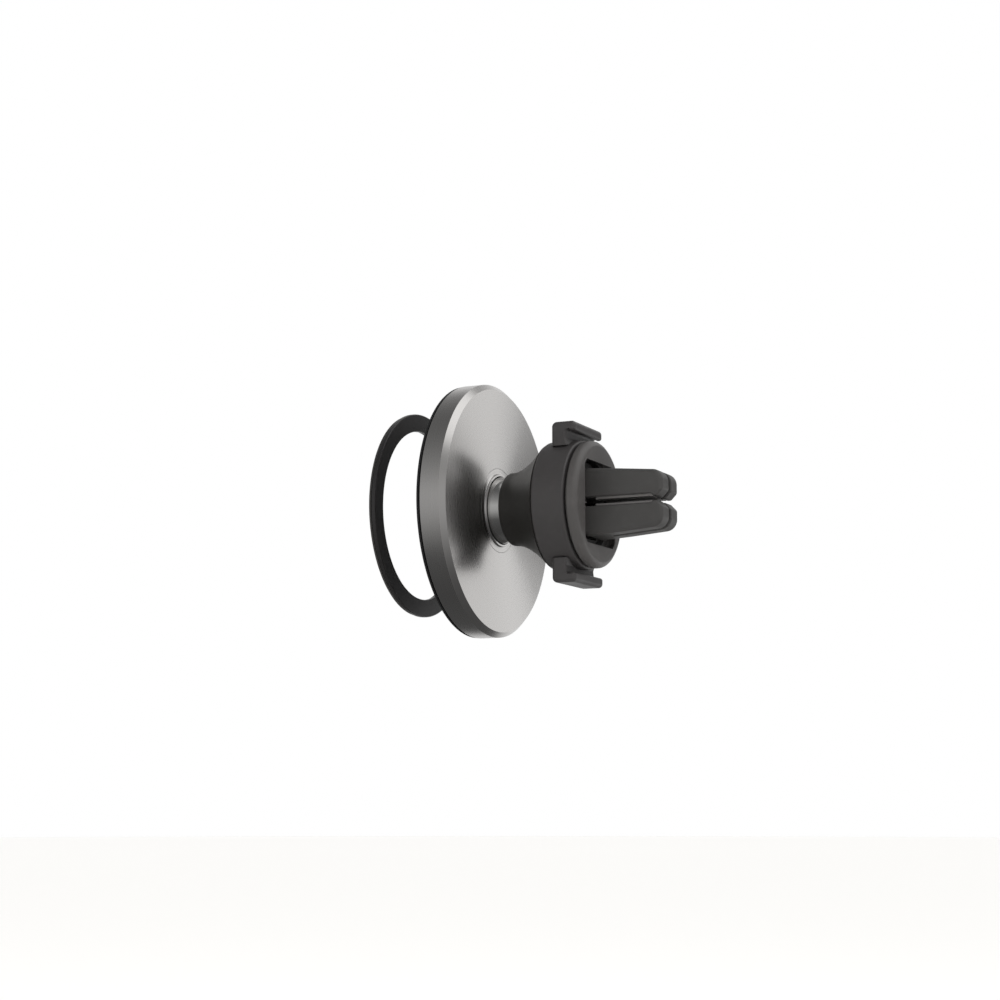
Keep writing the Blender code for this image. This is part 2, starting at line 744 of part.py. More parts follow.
def make_jaw(shop, name, side, frame):
    outline = [(y, side * z) for y, z in jaw_outline()]
    jaw = shop.outline(f"{name}_jaw", outline, JAW_HALF_WIDTH, ALONG_X, finish="jaw_rubber", frame=frame)
    bevel(jaw, 0.35 * MM)
    top = 10 * MM
    slot_low = (-PRONG_SLOT_HALF, PRONG_SLOT_START, -top)
    slot = shop.box(f"{name}_prong_slot", slot_low, (PRONG_SLOT_HALF, 2 * JAW_TIP, top))
    pivot = (0.0, PIN_PLACE[0], side * PIN_PLACE[1])
    pin_bore = shop.rod(f"{name}_jaw_bore", PIN_RADIUS + GAP, 20 * MM, ALONG_X, pivot)
    pocket_radius = SPRING_RADIUS + SPRING_WIRE + GAP
    pocket_place = (0.0, SPRING_PLACE, side * SPRING_POCKET / 2)
    pocket = shop.rod(f"{name}_spring_pocket", pocket_radius, SPRING_POCKET, (0, 0, 0), pocket_place)
    cut(jaw, slot, pin_bore, pocket)
    for pad_name, hand in (("left", -1), ("right", 1)):
        inner, outer = sorted((hand * (PAD_INNER - GAP), hand * (PAD_OUTER + GAP)))
        depth = sorted((0.0, side * (PAD_BACK + GAP)))
        low = (inner, PAD_START - GAP, depth[0])
        high = (outer, PAD_END + GAP, depth[1])
        cut(jaw, shop.box(f"{name}_{pad_name}_pad_pocket", low, high))
        x = sorted((hand * PAD_INNER, hand * PAD_OUTER))
        z = sorted((side * JAW_MOUTH, side * PAD_BACK))
        pad_low, pad_high = (x[0], PAD_START, z[0]), (x[1], PAD_END, z[1])
        pad = shop.box(f"{name}_{pad_name}_pad", pad_low, pad_high, "pad_silicone", frame)
        bevel(pad, 0.12 * MM, 1)


def make_pin(shop, name, side, frame):
    place = (0.0, PIN_PLACE[0], side * PIN_PLACE[1])
    pin = shop.rod(f"{name}_pin", PIN_RADIUS, 2 * PIN_HALF_LENGTH, ALONG_X, place, "plain_steel", frame)
    bevel(pin, 0.15 * MM, 1)


def make_spring(shop, frame):
    """A short coil between the jaws that pushes them open."""
    curve = bpy.data.curves.new("jaw_spring", "CURVE")
    curve.dimensions = "3D"
    curve.bevel_depth = SPRING_WIRE
    curve.bevel_resolution = 1
    curve.use_fill_caps = True
    spline = curve.splines.new("POLY")
    count = SPRING_TURNS * 10
    spline.points.add(count)
    for i, point in enumerate(spline.points):
        turn = 2 * math.pi * SPRING_TURNS * i / count
        height = SPRING_HALF_LENGTH * (2 * i / count - 1)
        point.co = (SPRING_RADIUS * math.cos(turn), SPRING_RADIUS * math.sin(turn), height, 1.0)
    shop.add("jaw_spring", curve, (0, 0, 0), (0.0, SPRING_PLACE, 0.0), "plain_steel", frame)


def main():
    shop = Workshop()
    clip = shop.frame("clip_frame")
    ball = (0.0, BALL_CENTRE, 0.0)
    tilt, pan, head = (shop.frame(name, ball) for name in ("tilt_frame", "pan_frame", "head_frame"))
    twist = shop.frame("twist_frame")
    clamp = shop.frame("clamp_frame")
    adapter = shop.frame("adapter_frame", (0.0, ADAPTER_BACK, 0.0))
    make_adapter(shop, adapter)
    make_face_cover(shop, head)
    make_head_shell(shop, head)
    make_magnets(shop, head)
    make_socket(shop, head)
    make_friction_cup(shop, pan)
    make_ball_liner(shop, tilt)
    make_ball_stud(shop, clip)
    make_bell_collar(shop, clip)
    make_core_body(shop, clip)
    make_front_plate(shop, clip)
    make_twist_ring(shop, twist)
    make_clamp_collar(shop, clamp)
    for name, side in (("upper", 1), ("lower", -1)):
        hinge = shop.frame(f"{name}_jaw_frame", (0.0, PIN_PLACE[0], side * PIN_PLACE[1]))
        make_jaw(shop, name, side, hinge)
        make_pin(shop, name, side, clip)
    make_spring(shop, clip)


main()
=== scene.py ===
"""Looks for the magnetic vent mount, laid out as an add-on and run as a script.

Each operator makes one piece, or a group of like pieces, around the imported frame. Lengths are in metres.
The mount's axis is Y: the magnetic face looks along -Y and the jaws of the clip point along +Y.
"""

import json
import math

import bmesh
import bpy
from bpy.props import FloatProperty, FloatVectorProperty, IntProperty, PointerProperty
from bpy.types import Operator, Panel, PropertyGroup
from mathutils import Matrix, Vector


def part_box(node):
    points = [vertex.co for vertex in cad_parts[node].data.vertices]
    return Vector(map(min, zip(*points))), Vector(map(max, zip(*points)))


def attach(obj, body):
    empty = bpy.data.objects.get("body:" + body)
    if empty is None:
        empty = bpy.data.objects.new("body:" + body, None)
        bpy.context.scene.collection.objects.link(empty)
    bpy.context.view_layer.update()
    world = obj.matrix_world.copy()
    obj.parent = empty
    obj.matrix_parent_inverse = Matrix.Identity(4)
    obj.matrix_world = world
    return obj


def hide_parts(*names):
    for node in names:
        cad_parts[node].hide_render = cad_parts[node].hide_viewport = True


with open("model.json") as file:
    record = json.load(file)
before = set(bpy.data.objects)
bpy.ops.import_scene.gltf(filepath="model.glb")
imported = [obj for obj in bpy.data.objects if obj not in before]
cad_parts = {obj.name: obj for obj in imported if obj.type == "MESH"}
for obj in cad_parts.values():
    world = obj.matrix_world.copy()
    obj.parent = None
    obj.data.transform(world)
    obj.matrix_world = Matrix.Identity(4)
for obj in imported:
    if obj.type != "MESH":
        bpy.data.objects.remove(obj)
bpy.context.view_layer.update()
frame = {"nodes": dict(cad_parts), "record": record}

bl_info = {
    "name": "Magnetic Vent Mount",
    "version": (1, 0, 0),
    "blender": (4, 5, 0),
    "location": "3D View > Sidebar > Mount",
    "description": "Builds the visible pieces of a magnetic phone mount around its frame",
    "category": "Add Mesh",
}

MM = 0.001
TINY = 1e-6
AXIS = (0.0, 1.0, 0.0)
BALL_FLAT = 66.0  # degrees from the axis at which the ball's front is cut flat


def linear(code):
    """A hexadecimal display colour as linear light."""
    levels = [int(code[i : i + 2], 16) / 255 for i in (0, 2, 4)]
    return [v / 12.92 if v <= 0.04045 else ((v + 0.055) / 1.055) ** 2.4 for v in levels]


class Place:
    """The extent of a frame node, as a turner would measure it."""

    def __init__(self, node):
        low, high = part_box(node)
        self.low, self.high = low, high
        self.front, self.back = low.y, high.y
        self.radius = high.x
        self.middle = (low + high) / 2
        self.size = high - low


# ---------------------------------------------------------------- settings


def length(name, description, default):
    return FloatProperty(name=name, description=description, default=default, unit="LENGTH", precision=5)


def angle(name, description, degrees):
    return FloatProperty(name=name, description=description, default=math.radians(degrees), subtype="ANGLE")


def power(name, description, default):
    return FloatProperty(name=name, description=description, default=default, unit="POWER")


def colour(name, description, code):
    return FloatVectorProperty(
        name=name, description=description, default=linear(code), subtype="COLOR", min=0.0, max=1.0
    )


class MountSizes(PropertyGroup):
    turn_steps: IntProperty(
        name="Turning Steps", description="Sides of a large turned piece", default=160, min=24
    )
    crisp_edge: length("Crisp Edge", "Radius of machined edges", 0.08 * MM)
    chamfer: length("Chamfer", "Width of the chamfer on the disc's back edge", 1.2 * MM)
    jaw_round: length("Jaw Rounding", "Radius along the outer edges of the jaws", 1.0 * MM)
    nose_round: length("Nose Rounding", "Radius at the tips of the prongs", 2.6 * MM)
    slot_round: length("Slot Rounding", "Radius along the upright slot between the prongs", 0.3 * MM)
    tab_round: length("Tab Rounding", "Radius along the sides of the tabs", 0.9 * MM)
    window_bevel: length("Window Bevel", "Bevel round the window of the plate", 0.4 * MM)


class MountColours(PropertyGroup):
    aluminium: colour("Aluminium", "Turned aluminium of the disc", "D2D0CE")
    steel: colour("Polished Steel", "Ball and socket ring", "DDDCDA")
    zinc: colour("Zinc", "Plated screws, pins and springs", "A8A7A2")
    nickel: colour("Nickel", "Plated magnets", "C4C1BA")
    face: colour("Face Silicone", "Soft cover of the magnetic face", "1A1A1B")
    bell: colour("Bell", "Flared nose of the clip", "282725")
    band: colour("Band", "Twist ring and its tabs", "3A3838")
    plate: colour("Plate", "Front plate round the jaws", "4A4847")
    inner: colour("Inner Plastic", "Mouldings inside the clip and the head", "2A2928")
    jaw: colour("Jaws", "Soft-touch coating of the jaws", "3F3E3D")
    pad: colour("Pads", "Silicone pads between the jaws", "6E6C6B")
    nylon: colour("Nylon", "Liner of the ball", "D8D5CC")
    lacquer: colour("Lacquer", "Dark lacquer of the adapter ring", "222121")
    tape: colour("Tape", "Foam tape behind the adapter ring", "3A3938")
    floor: colour("Floor", "Studio floor", "F2F1EF")


class StudioSettings(PropertyGroup):
    azimuth: angle("Azimuth", "Camera's turn round the mount", 114.88)
    elevation: angle("Elevation", "Camera's height angle", -8.29)
    distance: length("Distance", "From the camera to the point it looks at", 0.470)
    aim: FloatVectorProperty(
        name="Aim",
        description="Point that the camera looks at",
        default=(0.0002, -0.0252, 0.0025),
        unit="LENGTH",
    )
    lens: FloatProperty(name="Lens", description="Focal length in millimetres", default=72.4)
    box_width: length("Box Width", "Side of each square soft box", 0.5)
    key_power: power("Key Power", "Main soft box", 2.5)
    fill_power: power("Fill Power", "Soft box on the phone's side", 1.0)
    top_power: power("Top Power", "Overhead soft box", 1.2)


# ---------------------------------------------------------------- outlines


def rounded(corners, closed=True, segments=4):
    """Corners (u, v, radius) as a list of points, with an arc of that radius at each corner."""
    count = len(corners)
    points = []
    for i, (u, v, radius) in enumerate(corners):
        here = Vector((u, v))
        if radius == 0 or (not closed and i in (0, count - 1)):
            points.append(here)
            continue
        to_last = (Vector(corners[i - 1][:2]) - here).normalized()
        to_next = (Vector(corners[(i + 1) % count][:2]) - here).normalized()
        half = to_last.angle(to_next) / 2
        centre = here + (to_last + to_next).normalized() * radius / math.sin(half)
        start = here + to_last * radius / math.tan(half) - centre
        end = here + to_next * radius / math.tan(half) - centre
        for k in range(segments + 1):
            points.append(centre + start.lerp(end, k / segments).normalized() * radius)
    return points


def arc(centre, radius, start, end, count):
    """Points (station, radius) along an arc: 0 degrees looks along -Y, 90 degrees straight out."""
    turns = [math.radians(start + (end - start) * i / count) for i in range(count + 1)]
    return [Vector((centre[0] - radius * math.cos(t), centre[1] + radius * math.sin(t))) for t in turns]


def inset(corners, shares, width):
    """The corners (u, v, radius) drawn inwards, each side by its own share of the width."""
    points = [Vector(corner[:2]) for corner in corners]
    following = points[1:] + points[:1]
    area = sum(here.cross(there) for here, there in zip(points, following))
    turn = math.copysign(1.0, area)
    sides = []
    for here, there, share in zip(points, following, shares):
        along = (there - here).normalized()
        sides.append((here + Vector((-along.y, along.x)) * turn * width * share, along))
    result = []
    for i, corner in enumerate(corners):
        (start, along), (end, next_along) = sides[i - 1], sides[i]
        bend = along.cross(next_along)
        place = start + along * (end - start).cross(next_along) / bend
        drawn_in = width * (shares[i - 1] + shares[i]) / 2
        radius = corner[2] - math.copysign(drawn_in, bend * turn)
        result.append((place.x, place.y, max(radius, 0.05 * MM)))
    return result


# ---------------------------------------------------------------- modelling


def edit_mode():
    bpy.ops.object.mode_set(mode="EDIT")


def object_mode():
    bpy.ops.object.mode_set(mode="OBJECT")


def select_only(piece):
    bpy.ops.object.select_all(action="DESELECT")
    piece.select_set(True)
    bpy.context.view_layer.objects.active = piece


def pick(kind, test):
    """In edit mode, selects only the faces, edges or verts that pass the test."""
    mesh = bpy.context.edit_object.data
    shape = bmesh.from_edit_mesh(mesh)
    for group in (shape.faces, shape.edges, shape.verts):
        for element in group:
            element.select = False
    for element in getattr(shape, kind):
        if test(element):
            element.select_set(True)
    shape.select_flush_mode()
    bmesh.update_edit_mesh(mesh)


def edge_middle(edge):
    return (edge.verts[0].co + edge.verts[1].co) / 2


def outward():
    bpy.ops.mesh.select_all(action="SELECT")
    bpy.ops.mesh.remove_doubles(threshold=TINY)
    bpy.ops.mesh.normals_make_consistent(inside=False)


def turned(name, profile, steps, capped=False):
    """A circle drawn out along the mount's axis: closed on itself, or with a flat cap at each end."""
    station, radius = profile[0]
    bpy.ops.object.select_all(action="DESELECT")
    bpy.ops.mesh.primitive_circle_add(
        vertices=steps, radius=radius, location=(0, station, 0), rotation=(math.pi / 2, 0, 0)
    )
    piece = bpy.context.object
    piece.name = name
    bpy.ops.object.transform_apply()
    edit_mode()
    bpy.ops.mesh.select_all(action="SELECT")
    if capped:
        bpy.ops.mesh.edge_face_add()
        bpy.ops.mesh.select_all(action="SELECT")
    extrude = bpy.ops.mesh.extrude_region_move if capped else bpy.ops.mesh.extrude_edges_move
    for new_station, new_radius in profile[1:]:
        extrude(TRANSFORM_OT_translate={"value": (0, new_station - station, 0)})
        growth = new_radius / radius
        bpy.ops.transform.resize(value=(growth, 1, growth), center_override=(0, new_station, 0))
        station, radius = new_station, new_radius
    if not capped:
        pick("edges", lambda edge: edge.is_boundary)
        bpy.ops.mesh.bridge_edge_loops()
    outward()
    object_mode()
    return piece


def draw_chain(place, outline):
    """In edit mode, draws a closed chain of edges in the plane x = place."""
    bpy.ops.mesh.select_all(action="DESELECT")
    bpy.ops.mesh.primitive_plane_add(size=MM, location=(place, *outline[0]))
    bpy.ops.mesh.merge(type="CENTER")
    for here, there in zip(outline, outline[1:]):
        step = (0, there[0] - here[0], there[1] - here[1])
        bpy.ops.mesh.extrude_vertices_move(TRANSFORM_OT_translate={"value": step})
    pick("verts", lambda v: abs(v.co.x - place) < TINY / 10 and len(v.link_edges) == 1)
    bpy.ops.mesh.edge_face_add()


def pillowed(name, corners, shares, half, radius, side, steps=6, segments=8):
    """A slab from x = -half to half with this outline, its flanks rounded over at their edges."""
    turns = [math.pi / 2 * i / steps for i in range(steps + 1)]
    layers = [(half - radius * (1 - math.cos(turn)), radius * (1 - math.sin(turn))) for turn in turns]
    layers = [(-place, width) for place, width in layers] + list(reversed(layers))
    bpy.ops.object.select_all(action="DESELECT")
    bpy.ops.mesh.primitive_plane_add(size=MM)
    piece = bpy.context.object
    piece.name = name
    edit_mode()
    bpy.ops.mesh.select_all(action="SELECT")
    bpy.ops.mesh.delete(type="VERT")
    for place, width in layers:
        outline = rounded(inset(corners, shares, width), segments=segments)
        draw_chain(place, [(y, side * z) for y, z in outline])
    bpy.ops.mesh.select_all(action="SELECT")
    bpy.ops.mesh.bridge_edge_loops()
    for end in (-half, half):
        pick("edges", lambda e: all(abs(v.co.x - end) < TINY / 10 for v in e.verts))
        bpy.ops.mesh.edge_face_add()
    outward()
    object_mode()
    return piece


def block(name, low, high):
    """A cube drawn to size."""
    low, high = Vector(low), Vector(high)
    bpy.ops.object.select_all(action="DESELECT")
    bpy.ops.mesh.primitive_cube_add(size=1, location=(low + high) / 2)
    piece = bpy.context.object
    piece.name = name
    piece.scale = high - low
    bpy.ops.object.transform_apply()
    return piece


def add_loop(place):
    """In edit mode, cuts a loop of edges across the whole piece, square to the mount's axis."""
    bpy.ops.mesh.select_all(action="SELECT")
    bpy.ops.mesh.bisect(plane_co=place, plane_no=AXIS)


def apply_modifier(piece, kind, **settings):
    select_only(piece)
    step = piece.modifiers.new(kind.title(), kind)
    for setting, value in settings.items():
        setattr(step, setting, value)
    bpy.ops.object.modifier_apply(modifier=step.name)


def soften(piece, width, segments, angle):
    """Bevels every edge that is sharper than the angle."""
    apply_modifier(
        piece,
        "BEVEL",
        width=width,
        segments=segments,
        limit_method="ANGLE",
        angle_limit=math.radians(angle),
        miter_outer="MITER_ARC",
    )


def combine(piece, other, operation):
    """Joins or cuts with another shape, which is used up."""
    apply_modifier(piece, "BOOLEAN", object=other, operation=operation, solver="EXACT")
    bpy.data.objects.remove(other)


def smooth(piece, angle):
    """Smooth shading that keeps the edges sharper than the angle crisp."""
    select_only(piece)
    bpy.ops.object.shade_smooth_by_angle(angle=math.radians(angle))
    apply_modifier(piece, "WEIGHTED_NORMAL", keep_sharp=True)


def fit_out(piece, body, nodes, slot, angle=32.0):
    """Finishes a piece: smooth shading, material, and its place in the frame."""
    smooth(piece, angle)
    select_only(piece)
    bpy.ops.object.transform_apply()
    piece.data.materials.clear()
    piece.data.materials.append(finishes.get(slot))
    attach(piece, body)
    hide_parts(*nodes)
    return piece


# ---------------------------------------------------------------- materials


class Wire:
    """A shader socket. Arithmetic on it adds Math nodes."""

    def __init__(self, finish, socket):
        self.finish = finish
        self.socket = socket

    def math(self, operation, first, second):
        return self.finish.node("Math", {"operation": operation}, {0: first, 1: second})

    def __add__(self, other):
        return self.math("ADD", self, other)

    __radd__ = __add__

    def __sub__(self, other):
        return self.math("SUBTRACT", self, other)

    def __rsub__(self, other):
        return self.math("SUBTRACT", other, self)

    def __mul__(self, other):
        return self.math("MULTIPLY", self, other)

    __rmul__ = __mul__


class Shader:
    """A node tree being built."""

    def __init__(self, tree):
        self.tree = tree

    def node(self, kind, settings=None, inputs=None, output=0):
        """Adds a node: its settings first, then the values or links of its sockets."""
        made = self.tree.nodes.new("ShaderNode" + kind)
        for name, value in (settings or {}).items():
            if name == "stops":
                self.set_stops(made.color_ramp, value)
            else:
                setattr(made, name, value)
        for key, value in (inputs or {}).items():
            self.feed(made.inputs[key], value)
        return Wire(self, made.outputs[output])

    def set_stops(self, ramp, stops):
        while len(ramp.elements) < len(stops):
            ramp.elements.new(1.0)
        for element, (position, level) in zip(ramp.elements, stops):
            element.position = position
            element.color = (level, level, level, 1.0)

    def feed(self, socket, value):
        if isinstance(value, Wire):
            self.tree.links.new(value.socket, socket)
        else:
            socket.default_value = value

    def ramp(self, wire, *stops):
        return self.node("ValToRGB", {"stops": stops}, {"Fac": wire})

    def mix(self, amount, first, second):
        """A colour between two colours or sockets, by amount."""
        return self.node("Mix", {"data_type": "RGBA"}, {"Factor": amount, 6: first, 7: second}, output=2)

    def blend(self, amount, first, second):
        """A colour between two tones, by amount."""
        return self.mix(amount, (*first, 1.0), (*second, 1.0))

    def along(self, way, direction):
        """How far a direction agrees with another: 0 when opposite, 1 when the same."""
        return self.vector("DOT_PRODUCT", way, direction, output="Value") * 0.5 + 0.5

    def vector(self, operation, first, second=None, scale=None, output=0):
        inputs = {0: first}
        if second is not None:
            inputs[1] = second
        if scale is not None:
            inputs["Scale"] = scale
        return self.node("VectorMath", {"operation": operation}, inputs, output)


class Finish(Shader):
    """A material being built from shader nodes."""

    def __init__(self, name):
        self.material = bpy.data.materials.new(name)
        self.material.use_nodes = True
        super().__init__(self.material.node_tree)
        self.shader = self.tree.nodes["Principled BSDF"]
        self.place = self.node("TexCoord", output="Object")

    def set(self, **values):
        """Sets sockets of the main shader by name, with _ for a space."""
        for name, value in values.items():
            self.feed(self.shader.inputs[name.replace("_", " ")], value)

    def noise(self, scale, detail=2.0, place=None):
        inputs = {"Vector": place or self.place, "Scale": scale, "Detail": detail}
        return self.node("TexNoise", {}, inputs)

    def bump(self, height, distance, strength=1.0):
        return self.node("Bump", {}, {"Height": height, "Distance": distance, "Strength": strength})


def shade(tone, factor):
    return [min(1.0, level * factor) for level in tone]


def turned_metal(name, tone, roughness, fan, groove):
    """Metal off a lathe: its rings fan the light out from the axis, and show as fine lines of tone."""
    finish = Finish(name)
    out = finish.vector("MULTIPLY", finish.place, (1.0, 0.0, 1.0))
    station = finish.node("SeparateXYZ", {}, {0: finish.place}, output="Y")
    travel = finish.vector("LENGTH", out, output="Value") + station
    cuts = {"W": travel, "Scale": 5000.0, "Detail": 4.0}
    rings = finish.node("TexNoise", {"noise_dimensions": "1D"}, cuts)
    clouds = finish.noise(70.0, 4.0)
    normal = finish.node("NewGeometry", output="Normal")
    facing = finish.vector("DOT_PRODUCT", normal, AXIS, output="Value")
    flatness = finish.node("Math", {"operation": "POWER"}, {0: facing * facing, 1: 3.0})
    lean = (rings - 0.5) * groove + flatness * fan
    tilt = finish.vector("SCALE", finish.vector("NORMALIZE", out), scale=lean)
    finish.set(Normal=finish.vector("NORMALIZE", finish.vector("ADD", normal, tilt)))
    mask = rings * 0.6 + clouds * 0.4
    finish.set(
        Base_Color=finish.blend(mask, shade(tone, 0.88), shade(tone, 1.08)),
        Roughness=finish.ramp(mask, (0.25, roughness - 0.03), (0.75, roughness + 0.05)),
        Metallic=1.0,
    )
    return finish.material


def polished_metal(name, tone, roughness):
    """Bright metal with faint handling marks."""
    finish = Finish(name)
    marks = finish.noise(260.0, 6.0)
    clouds = finish.noise(45.0, 3.0)
    mask = marks * 0.5 + clouds * 0.5
    finish.set(
        Base_Color=finish.blend(mask, shade(tone, 0.94), shade(tone, 1.03)),
        Roughness=finish.ramp(mask, (0.3, roughness - 0.03), (0.7, roughness + 0.05)),
        Normal=finish.bump(marks, 0.004 * MM, 0.4),
        Metallic=1.0,
    )
    return finish.material


def moulded(name, tone, roughness, grain, depth, specular=0.5):
    """Moulded plastic or coating: a fine grain, soft clouds of tone and a few rubbed spots."""
    finish = Finish(name)
    fine = finish.noise(grain, 3.0)
    cells = {"Vector": finish.place, "Scale": grain * 0.6}
    pits = finish.node("TexVoronoi", {}, cells, output="Distance")
    clouds = finish.noise(130.0, 4.0)
    rubbed = finish.ramp(finish.noise(420.0, 5.0), (0.52, 0.0), (0.75, 1.0))
    mask = clouds * 0.75 + rubbed * 0.25
    finish.set(
        Base_Color=finish.blend(mask, shade(tone, 0.84), shade(tone, 1.16)),
        Roughness=finish.ramp(mask, (0.2, roughness + 0.05), (0.85, roughness - 0.07)),
        Normal=finish.bump(fine * 0.6 + pits * 0.4, depth, 0.6),
        Specular_IOR_Level=specular,
    )
    return finish.material


class Materials:
    """Makes each finish once, when it is first asked for.

    The numbers of a moulded finish are its roughness, its grain in cells per metre, the grain's depth and,
    where it is duller than usual, its specular level. Those of turned metal are roughness, fan and groove.
    """

    def __init__(self):
        self.made = {}

    def get(self, slot):
        if slot not in self.made:
            self.made[slot] = self.make(slot)
        return self.made[slot]

    def make(self, slot):
        tones = bpy.context.scene.mount_colours
        recipes = {
            "satin_aluminium": lambda: turned_metal(slot, tones.aluminium, 0.27, 0.28, 0.10),
            "polished_steel": lambda: polished_metal(slot, tones.steel, 0.13),
            "plain_steel": lambda: polished_metal(slot, tones.zinc, 0.32),
            "nickel_magnet": lambda: polished_metal(slot, tones.nickel, 0.22),
            "face_silicone": lambda: moulded(slot, tones.face, 0.62, 5200.0, 0.012 * MM, 0.35),
            "bell_plastic": lambda: moulded(slot, tones.bell, 0.40, 7000.0, 0.006 * MM),
            "clip_plastic": lambda: moulded(slot, tones.band, 0.44, 6200.0, 0.010 * MM),
            "plate_plastic": lambda: moulded(slot, tones.plate, 0.42, 6200.0, 0.010 * MM),
            "inner_plastic": lambda: moulded(slot, tones.inner, 0.50, 4000.0, 0.012 * MM),
            "jaw_rubber": lambda: moulded(slot, tones.jaw, 0.50, 8000.0, 0.008 * MM, 0.45),
            "pad_silicone": lambda: moulded(slot, tones.pad, 0.55, 6000.0, 0.010 * MM, 0.4),
            "liner_nylon": lambda: moulded(slot, tones.nylon, 0.42, 3000.0, 0.006 * MM),
            "adapter_lacquer": lambda: moulded(slot, tones.lacquer, 0.34, 9000.0, 0.004 * MM),
            "adhesive_foam": lambda: moulded(slot, tones.tape, 0.85, 2600.0, 0.030 * MM, 0.2),
        }
        return recipes[slot]()


finishes = Materials()


# ---------------------------------------------------------------- pieces


def ball_centre(stud):
    """Station of the ball's centre, found from its flat front."""
    return stud.front + stud.radius * math.cos(math.radians(BALL_FLAT))


class MOUNT_OT_disc(Operator):
    """Turned aluminium disc with a chamfered back edge"""

    bl_idname = "mount.disc"
    bl_label = "Disc"

    def execute(self, context):
        sizes = context.scene.mount_sizes
        shell = Place("head_shell")
        ring = Place("socket_ring")
        wall, floor, play = 1.6 * MM, 1.5 * MM, 0.25 * MM
        bore = ring.radius + play
        crisp = sizes.crisp_edge
        corners = [
            (shell.front, shell.radius - wall, crisp),
            (shell.front, shell.radius, 2 * crisp),
            (shell.back - sizes.chamfer, shell.radius, crisp),
            (shell.back, shell.radius - sizes.chamfer, crisp),
            (shell.back, bore, crisp / 2),
            (shell.back - floor, bore, crisp),
            (shell.back - floor, shell.radius - wall, crisp),
        ]
        disc = turned("turned_disc", rounded(corners, segments=3), sizes.turn_steps + 32)
        fit_out(disc, "head", ["head_shell"], "satin_aluminium", 25.0)
        return {"FINISHED"}


class MOUNT_OT_face(Operator):
    """Soft cover of the magnetic face, with a fine ring pressed into it"""

    bl_idname = "mount.face"
    bl_label = "Face"

    def execute(self, context):
        sizes = context.scene.mount_sizes
        cover = Place("face_cover")
        flange = cover.front + 0.6 * MM
        inside = cover.front + 0.7 * MM
        spigot = Place("head_shell").radius - 1.9 * MM
        bore = spigot - 1.7 * MM
        edge, middle = 0.25 * MM, 6.0 * MM
        groove, depth = 24.6 * MM, 0.12 * MM
        corners = [
            (cover.front, middle, 0),
            (cover.front, groove, edge / 4),
            (cover.front + depth, groove + 0.2 * MM, edge / 6),
            (cover.front + depth, groove + 0.5 * MM, edge / 6),
            (cover.front, groove + 0.7 * MM, edge / 4),
            (cover.front, cover.radius, edge),
            (flange, cover.radius, edge / 3),
            (flange, spigot, edge / 4),
            (cover.back, spigot, edge),
            (cover.back, bore, edge),
            (inside, bore, edge / 2),
            (inside, middle, 0),
        ]
        face = turned("soft_face", rounded(corners, closed=False), sizes.turn_steps, capped=True)
        fit_out(face, "head", ["face_cover"], "face_silicone")
        return {"FINISHED"}


class MOUNT_OT_ball(Operator):
    """Polished ball with its threaded stem, and the bright ring that holds it in the disc"""

    bl_idname = "mount.ball"
    bl_label = "Ball and Ring"

    def execute(self, context):
        self.ball()
        self.ring(context.scene.mount_sizes)
        return {"FINISHED"}

    def ball(self):
        """The ball, its neck and the threaded stem that the nut holds."""
        stud = Place("ball_stud")
        neck, stem = 4.2 * MM, 2.7 * MM
        neck_turn = 180 - math.degrees(math.asin(neck / stud.radius))
        profile = arc((ball_centre(stud), 0.0), stud.radius, BALL_FLAT, neck_turn, 40)
        shoulder = Place("bell_collar").front + 4.1 * MM
        corners = [(profile[-1].x, neck, 0), (shoulder, neck, 0.2 * MM), (shoulder, stem, 0)]
        profile += rounded(corners, closed=False)[1:]
        pitch, depth, tip = 0.6 * MM, 0.3 * MM, 0.5 * MM
        station = shoulder + 2.2 * MM
        while station < stud.back - 2 * pitch:
            profile += [Vector((station, stem)), Vector((station + pitch / 2, stem - depth))]
            station += pitch
        profile += [Vector((stud.back - tip, stem)), Vector((stud.back, stem - tip))]
        ball = turned("polished_ball", profile, 96, capped=True)
        fit_out(ball, "clip_body", ["ball_stud"], "polished_steel", 40.0)

    def ring(self, sizes):
        """The ring round the ball: a spherical seat inside, and a step down to the disc outside."""
        stud = Place("ball_stud")
        ring = Place("socket_ring")
        disc_back = Place("head_shell").back
        centre = ball_centre(stud)
        bore = stud.radius + 0.2 * MM
        start = math.degrees(math.acos((centre - ring.front) / bore))
        end = math.degrees(math.acos((centre - ring.back) / bore))
        foot = ring.radius + 0.2 * MM
        corners = [
            (ring.back, 8.12 * MM, 0),
            (ring.back, 8.4 * MM, 0.1 * MM),
            (disc_back + 0.1 * MM, 8.55 * MM, 0.15 * MM),
            (disc_back, 9.0 * MM, 0.1 * MM),
            (disc_back, foot, 0.04 * MM),
            (ring.front, foot, 0),
        ]
        profile = arc((centre, 0.0), bore, start, end, 10) + rounded(corners, closed=False)
        bright = turned("bright_ring", profile, sizes.turn_steps)
        fit_out(bright, "head", ["socket_ring"], "satin_aluminium", 25.0)


